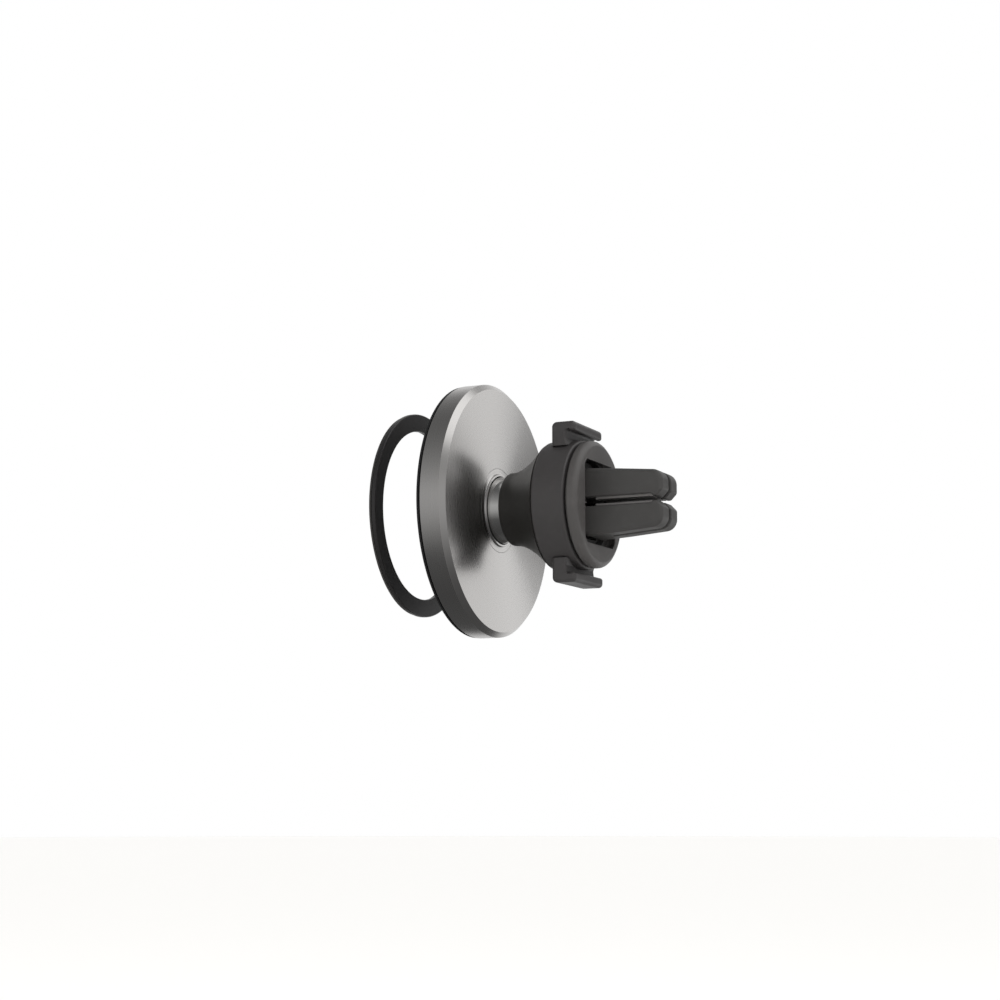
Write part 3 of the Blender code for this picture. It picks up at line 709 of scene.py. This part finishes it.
class MOUNT_OT_bell(Operator):
    """Flared nose of the clip"""

    bl_idname = "mount.bell"
    bl_label = "Bell"

    def execute(self, context):
        sizes = context.scene.mount_sizes
        bell = Place("bell_collar")
        stud = Place("ball_stud")
        centre = ball_centre(stud)
        seat = stud.radius + 0.3 * MM
        lip, lip_round, neck = 8.5 * MM, 0.6 * MM, 4.5 * MM
        mouth = 180 - math.degrees(math.acos((bell.front - centre) / seat))
        mouth_end = 180 - math.degrees(math.asin(neck / seat))
        profile = list(reversed(arc((centre, 0.0), seat, mouth, mouth_end, 12)))
        profile += arc((bell.front + lip_round, lip - lip_round), lip_round, 0, 90, 6)
        profile += self.flare(bell, lip)
        edge = 0.3 * MM
        back = self.back(bell)
        web_front = bell.front + 4.4 * MM
        web_back = web_front + 1.6 * MM
        step = web_back + 1.8 * MM
        bore, nut_room, hole = 10.7 * MM, 7.2 * MM, 3.0 * MM
        corners = [
            (back - edge, bell.radius, 0),
            (back, bell.radius - edge, 0),
            (back, bore, 0.1 * MM),
            (step, bore, 0.2 * MM),
            (step, nut_room, 0.1 * MM),
            (web_back, nut_room, 0.2 * MM),
            (web_back, hole, 0.1 * MM),
            (web_front, hole, 0.1 * MM),
            (web_front, neck, 0),
        ]
        profile += rounded(corners, closed=False, segments=3)[1:]
        made = turned("bell_nose", profile, sizes.turn_steps)
        fit_out(made, "clip_body", ["bell_collar"], "bell_plastic")
        return {"FINISHED"}

    def back(self, bell):
        """The rim comes close to the thumb ring, so that only a fine line shows between them."""
        return bell.back + 0.15 * MM

    def flare(self, bell, lip):
        """The outside, which widens faster and faster from the lip to the rim."""
        start, end = bell.front + 1.6 * MM, self.back(bell) - 0.3 * MM
        waist, rim = lip + 0.1 * MM, bell.radius
        steps, sweep = 28, 1.6
        shares = [i / steps for i in range(steps + 1)]
        return [Vector((start + (end - start) * t, waist + (rim - waist) * t**sweep)) for t in shares]


class MOUNT_OT_thumb_ring(Operator):
    """Wide band that is turned by two hooked tabs"""

    bl_idname = "mount.thumb_ring"
    bl_label = "Thumb Ring"

    def execute(self, context):
        sizes = context.scene.mount_sizes
        ring = Place("twist_ring")
        band_back = ring.front + 7.8 * MM
        bore, channel = 11.9 * MM, 13.2 * MM
        channel_front = ring.front + 2.2 * MM
        corners = [
            (ring.front, bore, 0.1 * MM),
            (ring.front, ring.radius, 0.35 * MM),
            (band_back, ring.radius, 0.5 * MM),
            (band_back, channel, 0.15 * MM),
            (channel_front, channel, 0.2 * MM),
            (channel_front, bore, 0.1 * MM),
        ]
        band = turned("thumb_ring", rounded(corners, segments=5), sizes.turn_steps)
        root, past = 13.6 * MM, 5 * MM
        for side in (1, -1):
            tab = self.tab(sizes, ring, side)
            trim = turned("trim", [(ring.front - past, root), (ring.back + past, root)], 96, capped=True)
            combine(tab, trim, "DIFFERENCE")
            combine(band, tab, "UNION")
        fit_out(band, "twist", ["twist_ring"], "clip_plastic")
        return {"FINISHED"}

    def tab(self, sizes, ring, side):
        """A block whose outer end hooks over the vent side, with a finger groove under the hook."""
        front, back, top = ring.front + 2.3 * MM, ring.back, ring.high.z
        foot, groove = 12.8 * MM, ring.front + 6.0 * MM
        under = top - 2.3 * MM
        corners = [
            (front, foot, 0.2 * MM),
            (front, top, 1.2 * MM),
            (back, top, 0.9 * MM),
            (back, under, 0.6 * MM),
            (back - 1.0 * MM, under, 0.3 * MM),
            (back - 1.35 * MM, under + 0.4 * MM, 0.3 * MM),
            (groove, under + 0.25 * MM, 0.6 * MM),
            (groove - 0.2 * MM, top - 3.9 * MM, 0.5 * MM),
            (groove + 0.3 * MM, foot, 0.2 * MM),
        ]
        shares = (1.0, 1.0, 0.8, 0.6, 0.2, 0.2, 0.6, 0.6, 0.0)
        return pillowed("tab", corners, shares, 8.5 * MM, sizes.tab_round, side)


class MOUNT_OT_plate(Operator):
    """Raised round plate with the window that the jaws come out of"""

    bl_idname = "mount.plate"
    bl_label = "Front Plate"
    wide, tall, corner = 9.5 * MM, 10.0 * MM, 2.0 * MM

    def execute(self, context):
        sizes = context.scene.mount_sizes
        plate = Place("front_plate")
        recess, step, middle = 11.9 * MM, 14.0 * MM, 6.0 * MM
        flange = plate.front + 0.4 * MM
        inside = plate.back - 1.7 * MM
        edge = 0.1 * MM
        corners = [
            (plate.front, recess, edge),
            (plate.front, step, edge),
            (flange, step, edge),
            (flange, plate.radius, 0.25 * MM),
            (plate.back, plate.radius, 1.4 * MM),
            (plate.back, middle, 0),
            (inside, middle, 0),
            (inside, recess, edge),
        ]
        made = turned("vent_plate", rounded(corners, segments=6), sizes.turn_steps)
        window = self.window(plate.front - 1 * MM, plate.back + 1 * MM)
        combine(made, window, "DIFFERENCE")
        self.ease_window(made, plate, sizes.window_bevel)
        fit_out(made, "clip_body", ["front_plate"], "plate_plastic", 30.0)
        return {"FINISHED"}

    def window(self, front, back):
        """A bar with its four corners cut off, to open the window with."""
        wide, tall = self.wide, self.tall
        bar = block("window", (-wide, front, -tall), (wide, back, tall))
        edit_mode()
        pick("edges", lambda e: abs(e.verts[0].co.y - e.verts[1].co.y) > TINY)
        bpy.ops.mesh.bevel(offset=self.corner, segments=2, profile=0.35, affect="EDGES")
        object_mode()
        return bar

    def ease_window(self, made, plate, width):
        """Bevels the edge of the window on the plate's face."""
        reach, sharp = 0.01 * MM, 1.0

        def on_rim(point):
            inside = abs(point.x) < self.wide + reach and abs(point.z) < self.tall + reach
            return inside and point.y > plate.back - reach

        select_only(made)
        edit_mode()
        pick("edges", lambda e: all(on_rim(v.co) for v in e.verts) and e.calc_face_angle(0.0) > sharp)
        bpy.ops.mesh.bevel(offset=width, segments=3, affect="EDGES")
        object_mode()


class MOUNT_OT_jaws(Operator):
    """Upper and lower jaws, each split into two round-nosed prongs"""

    bl_idname = "mount.jaws"
    bl_label = "Jaws"
    shares = (0.4, 1.0, 1.0, 1.0, 1.0, 1.0, 0.4, 0.4, 0.4, 0.4)

    def execute(self, context):
        for name, side in (("upper", 1), ("lower", -1)):
            self.jaw(context.scene.mount_sizes, name, side)
        return {"FINISHED"}

    def jaw(self, sizes, name, side):
        place = Place(f"{name}_jaw")
        half, tip = place.radius, place.back
        outline = self.outline(sizes, place)
        jaw = pillowed(f"{name}_fork", outline, self.shares, half, sizes.jaw_round, side)
        slot_half, slot_start, past = 0.75 * MM, 3.0 * MM, 12 * MM
        slot = block("slot", (-slot_half, slot_start, -past), (slot_half, tip + half, past))
        combine(jaw, slot, "DIFFERENCE")

        def on_slot(point):
            return abs(abs(point.x) - slot_half) < TINY and point.y > slot_start + MM

        edit_mode()
        pick("edges", lambda e: all(on_slot(v.co) for v in e.verts))
        bpy.ops.mesh.bevel(offset=sizes.slot_round, segments=3, affect="EDGES", clamp_overlap=False)
        object_mode()
        self.hollow(jaw, name)
        fit_out(jaw, f"{name}_jaw", [f"{name}_jaw"], "jaw_rubber", 38.0)

    def outline(self, sizes, place):
        """The jaw from the side: thick at its root, round at its nose, with a lead-in to the slot."""
        tip, inner, mouth, root = place.back, 0.95 * MM, 0.45 * MM, 7.1 * MM
        return [
            (place.front, inner, 0.5 * MM),
            (place.front, root, 1.3 * MM),
            (-3.2 * MM, root, 1.0 * MM),
            (-1.4 * MM, 7.8 * MM, 2.0 * MM),
            (5.8 * MM, 7.3 * MM, 20 * MM),
            (tip, 6.35 * MM, sizes.nose_round),
            (tip, 2.0 * MM, 0.8 * MM),
            (tip - 1.5 * MM, mouth, 0.6 * MM),
            (tip - 2.4 * MM, mouth, 0.4 * MM),
            (tip - 2.7 * MM, inner, 0.4 * MM),
        ]

    def hollow(self, jaw, name):
        """Cuts the pin's hole, the spring's pocket and the beds of the pads."""
        play = 0.3 * MM
        pin, spring = Place(f"{name}_pin"), Place("jaw_spring")
        across, pocket = 20 * MM, 6.4 * MM
        self.bore(jaw, pin.middle, pin.size.z / 2 + play, across, (0, math.pi / 2, 0))
        self.bore(jaw, (0, spring.middle.y, 0), spring.size.x / 2 + play, pocket, (0, 0, 0))
        for hand in ("left", "right"):
            pad = Place(f"{name}_{hand}_pad")
            room = Vector((play, play, play))
            combine(jaw, block("bed", pad.low - room, pad.high + room), "DIFFERENCE")

    def bore(self, jaw, place, radius, depth, turn):
        bpy.ops.object.select_all(action="DESELECT")
        bpy.ops.mesh.primitive_cylinder_add(
            vertices=32, radius=radius, depth=depth, location=place, rotation=turn
        )
        combine(jaw, bpy.context.object, "DIFFERENCE")


class MOUNT_OT_pads(Operator):
    """Ribbed silicone pads that line the slot between the jaws"""

    bl_idname = "mount.pads"
    bl_label = "Pads"

    def execute(self, context):
        for name, side in (("upper", 1), ("lower", -1)):
            for hand in ("left", "right"):
                self.pad(name, side, hand)
        return {"FINISHED"}

    def pad(self, name, side, hand):
        node = f"{name}_{hand}_pad"
        place = Place(node)
        pad = block(f"{node}_ribbed", place.low, place.high)
        ribs, edges, depth = 12, (0.3, 0.7), 0.15 * MM
        pitch = place.size.y / ribs
        inner = place.low.z if side > 0 else place.high.z

        def between_ribs(middle):
            share = ((middle.y - place.front) / pitch) % 1.0
            return abs(middle.z - inner) < TINY and edges[0] < share < edges[1]

        edit_mode()
        for rib in range(ribs):
            for edge in edges:
                add_loop((0, place.front + (rib + edge) * pitch, 0))
        pick("faces", lambda f: between_ribs(f.calc_center_median()))
        bpy.ops.mesh.extrude_region_move(TRANSFORM_OT_translate={"value": (0, 0, side * depth)})
        outward()
        object_mode()
        soften(pad, 0.06 * MM, 2, 50.0)
        fit_out(pad, f"{name}_jaw", [node], "pad_silicone")


class MOUNT_OT_adapter(Operator):
    """Thin steel ring that sticks to a phone, and its foam tape"""

    bl_idname = "mount.adapter"
    bl_label = "Adapter Ring"

    def execute(self, context):
        sizes = context.scene.mount_sizes
        ring = Place("adapter_ring")
        inside, edge = 20.0 * MM, 0.22 * MM
        corners = [
            (ring.front, inside, edge / 3),
            (ring.front, ring.radius, edge / 3),
            (ring.back, ring.radius, edge),
            (ring.back, inside, edge),
        ]
        made = turned("phone_ring", rounded(corners, segments=4), sizes.turn_steps + 32)
        fit_out(made, "adapter", ["adapter_ring"], "adapter_lacquer")
        tape = Place("adhesive_pad")
        inside, edge = inside + 0.3 * MM, 0.06 * MM
        corners = [
            (tape.front, inside, edge),
            (tape.front, tape.radius, edge),
            (tape.back, tape.radius, edge),
            (tape.back, inside, edge),
        ]
        made = turned("foam_tape", rounded(corners, segments=2), sizes.turn_steps)
        fit_out(made, "adapter", ["adhesive_pad"], "adhesive_foam")
        return {"FINISHED"}


class MOUNT_OT_spring(Operator):
    """Wire coil between the jaws"""

    bl_idname = "mount.spring"
    bl_label = "Jaw Spring"

    def execute(self, context):
        place = Place("jaw_spring")
        wire, turns = 0.24 * MM, 5
        coil = place.size.x / 2 - 0.26 * MM
        rise = place.size.z - 2 * wire - 0.1 * MM
        bpy.ops.object.select_all(action="DESELECT")
        bpy.ops.mesh.primitive_circle_add(
            vertices=12, radius=wire, location=(coil, 0, 0), rotation=(math.pi / 2, 0, 0)
        )
        spring = bpy.context.object
        spring.name = "wire_coil"
        bpy.ops.object.transform_apply()
        apply_modifier(
            spring,
            "SCREW",
            axis="Z",
            screw_offset=rise / turns,
            iterations=turns,
            steps=32,
            render_steps=32,
            use_merge_vertices=False,
        )
        edit_mode()
        for side in (-1, 1):
            pick("edges", lambda e: e.is_boundary and (edge_middle(e).z - rise / 2) * side > 0)
            bpy.ops.mesh.edge_face_add()
        outward()
        bpy.ops.mesh.select_all(action="SELECT")
        bpy.ops.transform.translate(value=(0, place.middle.y, -rise / 2))
        object_mode()
        fit_out(spring, "clip_body", ["jaw_spring"], "plain_steel")
        return {"FINISHED"}


class MOUNT_OT_inner_parts(Operator):
    """Finish of every frame part that keeps its own shape"""

    bl_idname = "mount.inner_parts"
    bl_label = "Inner Parts"

    def execute(self, context):
        slots = {part["node"]: part["material_slot"] for part in frame["record"]["subparts"]}
        for node, piece in frame["nodes"].items():
            piece.data.materials.clear()
            piece.data.materials.append(finishes.get(slots[node]))
        return {"FINISHED"}


# ---------------------------------------------------------------- stage


class MOUNT_OT_stage(Operator):
    """Pale floor, soft boxes and the camera"""

    bl_idname = "mount.stage"
    bl_label = "Stage"

    def execute(self, context):
        scene = context.scene
        studio = scene.mount_studio
        aim = Vector(studio.aim)
        self.floor(scene.mount_colours.floor)
        self.world(scene)
        boxes = (
            ("key_box", (0.40, 0.45, 0.40), studio.key_power),
            ("fill_box", (0.60, -0.45, 0.10), studio.fill_power),
            ("top_box", (-0.10, 0.0, 0.65), studio.top_power),
        )
        for name, offset, watts in boxes:
            self.soft_box(scene, name, aim + Vector(offset), aim, studio.box_width, watts)
        self.camera(scene, studio, aim)
        scene.view_settings.view_transform = "Standard"
        return {"FINISHED"}

    def floor(self, tone):
        """A wide round floor, well below the mount."""
        radius, drop = 6.0, 0.20
        bpy.ops.object.select_all(action="DESELECT")
        bpy.ops.mesh.primitive_circle_add(
            vertices=96, radius=radius, fill_type="NGON", location=(0, 0, -drop)
        )
        sheet = bpy.context.object
        sheet.name = "studio_floor"
        bpy.ops.object.transform_apply()
        finish = Finish("floor_paper")
        grain = finish.noise(60.0, 4.0)
        paper = finish.blend(grain, shade(tone, 0.99), shade(tone, 1.01))
        finish.set(
            Base_Color=paper,
            Roughness=finish.ramp(grain, (0.0, 0.85), (1.0, 0.95)),
            Emission_Color=paper,
            Emission_Strength=0.6,
        )
        sheet.data.materials.append(finish.material)
        sheet.visible_glossy = False

    def world(self, scene):
        """White to the eye. In reflections it is a studio.

        Behind the mount are bright panels with a dark gap at eye level, round the camera are grey walls, and
        a lamp hangs high over the clip. A ramp on height reads 0 straight down and 1 straight up.
        """
        scene.world = bpy.data.worlds.new("studio_air")
        scene.world.use_nodes = True
        air = Shader(scene.world.node_tree)
        way = air.node("TexCoord", output="Generated")
        height = air.node("SeparateXYZ", {}, {0: way}, output="Z") * 0.5 + 0.5
        behind = air.along(way, (-0.985, -0.174, 0.0))
        across = air.along(way, (-0.766, 0.643, 0.0))
        over = air.along(way, (-0.20, 0.55, 0.81))
        panels = air.ramp(
            height,
            (0.26, 0.08),
            (0.32, 0.75),
            (0.45, 0.95),
            (0.50, 0.85),
            (0.60, 0.80),
            (0.67, 0.70),
            (0.70, 0.95),
            (0.76, 0.80),
            (0.88, 0.25),
            (1.0, 0.16),
        )
        walls = air.ramp(
            height,
            (0.0, 0.06),
            (0.2, 0.10),
            (0.45, 0.40),
            (0.6, 0.46),
            (0.75, 0.28),
            (0.95, 0.12),
        )
        gap_height = air.ramp(height, (0.52, 0.0), (0.56, 1.0), (0.60, 1.0), (0.65, 0.0))
        gap = gap_height * air.ramp(across, (0.83, 0.0), (0.93, 1.0))
        lamp = air.ramp(over, (0.92, 0.0), (0.96, 1.0))
        studio = air.mix(air.ramp(behind, (0.55, 0.0), (0.75, 1.0)), walls, panels)
        studio = air.mix(gap, studio, (0.02, 0.02, 0.02, 1.0))
        studio = air.mix(lamp, studio, (1.2, 1.2, 1.2, 1.0))
        eye = air.node("LightPath", output="Is Camera Ray")
        seen = air.mix(eye, studio, (1.0, 1.0, 1.0, 1.0))
        air.feed(air.tree.nodes["Background"].inputs["Color"], seen)

    def soft_box(self, scene, name, place, aim, width, watts):
        """A square light that points at the aim and doesn't show in reflections."""
        light = bpy.data.lights.new(name, "AREA")
        light.size = width
        light.energy = watts
        box = bpy.data.objects.new(name, light)
        scene.collection.objects.link(box)
        box.location = place
        box.rotation_euler = (aim - place).to_track_quat("-Z", "Y").to_euler()
        box.visible_glossy = False

    def camera(self, scene, studio, aim):
        """Looks at the aim from its azimuth and elevation, where azimuth 0 looks along +Y."""
        azimuth, elevation = studio.azimuth, studio.elevation
        back = Vector(
            (
                math.sin(azimuth) * math.cos(elevation),
                -math.cos(azimuth) * math.cos(elevation),
                math.sin(elevation),
            )
        )
        data = bpy.data.cameras.new("view")
        data.lens = studio.lens
        data.clip_start = 0.01
        camera = bpy.data.objects.new("view", data)
        scene.collection.objects.link(camera)
        camera.location = aim + back * studio.distance
        camera.rotation_euler = (-back).to_track_quat("-Z", "Y").to_euler()
        scene.camera = camera


# ---------------------------------------------------------------- add-on


OPERATORS = (
    MOUNT_OT_inner_parts,
    MOUNT_OT_disc,
    MOUNT_OT_face,
    MOUNT_OT_ball,
    MOUNT_OT_bell,
    MOUNT_OT_thumb_ring,
    MOUNT_OT_plate,
    MOUNT_OT_jaws,
    MOUNT_OT_pads,
    MOUNT_OT_adapter,
    MOUNT_OT_spring,
    MOUNT_OT_stage,
)


class MOUNT_PT_panel(Panel):
    """Lists the pieces of the mount"""

    bl_idname = "MOUNT_PT_panel"
    bl_label = "Magnetic Vent Mount"
    bl_space_type = "VIEW_3D"
    bl_region_type = "UI"
    bl_category = "Mount"

    def draw(self, context):
        for operator in OPERATORS:
            self.layout.operator(operator.bl_idname)
        scene = context.scene
        for group in (scene.mount_sizes, scene.mount_colours, scene.mount_studio):
            box = self.layout.box()
            for name in group.__annotations__:
                box.prop(group, name)


CLASSES = (MountSizes, MountColours, StudioSettings, *OPERATORS, MOUNT_PT_panel)


def register():
    for item in CLASSES:
        bpy.utils.register_class(item)
    bpy.types.Scene.mount_sizes = PointerProperty(type=MountSizes)
    bpy.types.Scene.mount_colours = PointerProperty(type=MountColours)
    bpy.types.Scene.mount_studio = PointerProperty(type=StudioSettings)


def unregister():
    del bpy.types.Scene.mount_sizes, bpy.types.Scene.mount_colours, bpy.types.Scene.mount_studio
    for item in reversed(CLASSES):
        bpy.utils.unregister_class(item)


def main():
    register()
    for operator in OPERATORS:
        group, name = operator.bl_idname.split(".")
        getattr(getattr(bpy.ops, group), name)()


if __name__ == "__main__":
    main()
